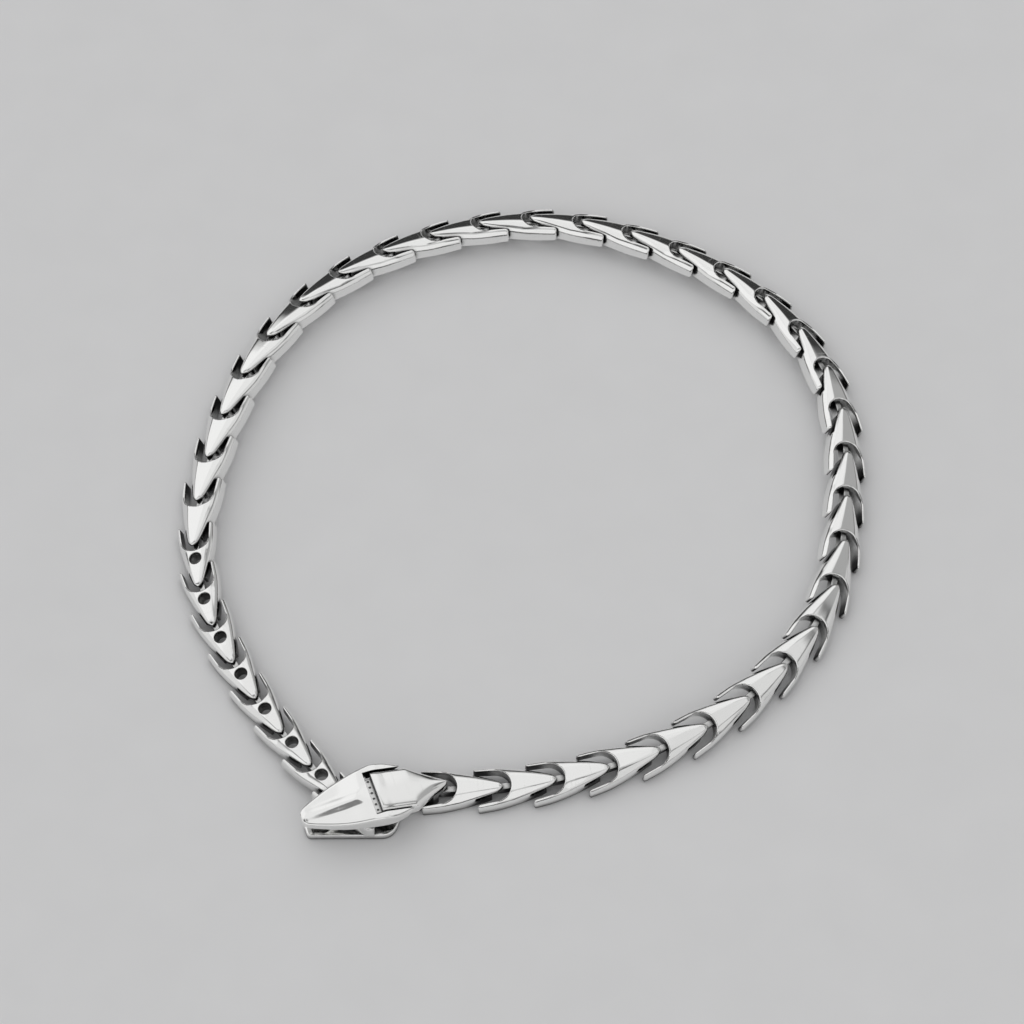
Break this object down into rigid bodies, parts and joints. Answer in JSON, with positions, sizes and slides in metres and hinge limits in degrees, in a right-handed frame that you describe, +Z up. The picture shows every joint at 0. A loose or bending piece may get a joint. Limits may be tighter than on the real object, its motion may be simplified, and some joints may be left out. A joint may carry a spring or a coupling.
{
  "type": "snake bracelet",
  "caption": "Polished metal chain bracelet of interlocking arrowhead scales, closed by a snake's head whose hinged snout covers a peg that holds the drilled tail.",
  "frame": {"origin": "middle of the closed loop's outline, on the surface that it lies on", "axes": "+Z up out of the surface; the head lies at the front left and points to -X; the loop lies in XY"},
  "size_m": [0.062, 0.0668, 0.0039],
  "materials": {
    "steel": "mirror polished"
  },
  "bodies": {
    "bracelet": {"link_01": "steel", "link_02": "steel", "link_03": "steel", "link_04": "steel", "link_05": "steel", "link_06": "steel", "link_07": "steel", "link_08": "steel", "link_09": "steel", "link_10": "steel", "link_11": "steel", "link_12": "steel", "link_13": "steel", "link_14": "steel", "link_15": "steel", "link_16": "steel", "link_17": "steel", "link_18": "steel", "link_19": "steel", "link_20": "steel", "link_21": "steel", "link_22": "steel", "link_23": "steel", "link_24": "steel", "link_25": "steel", "link_26": "steel", "link_27": "steel", "link_28": "steel", "link_29": "steel", "link_30": "steel", "link_31": "steel", "link_32": "steel", "link_33": "steel", "link_34": "steel", "link_35": "steel", "link_36": "steel", "link_37": "steel", "link_38": "steel", "link_39": "steel", "link_40": "steel", "head_base": "steel", "hinge_pin": "steel"},
    "jaw": {"snout": "steel"}
  },
  "joints": [
    {"name": "snout_hinge", "type": "hinge", "parent": "bracelet", "child": "jaw", "pos_m": [-0.01177, -0.02998, 0.0029], "axis": [-0.3206, 0.9472, 0], "range_deg": [0, 95]}
  ]
}
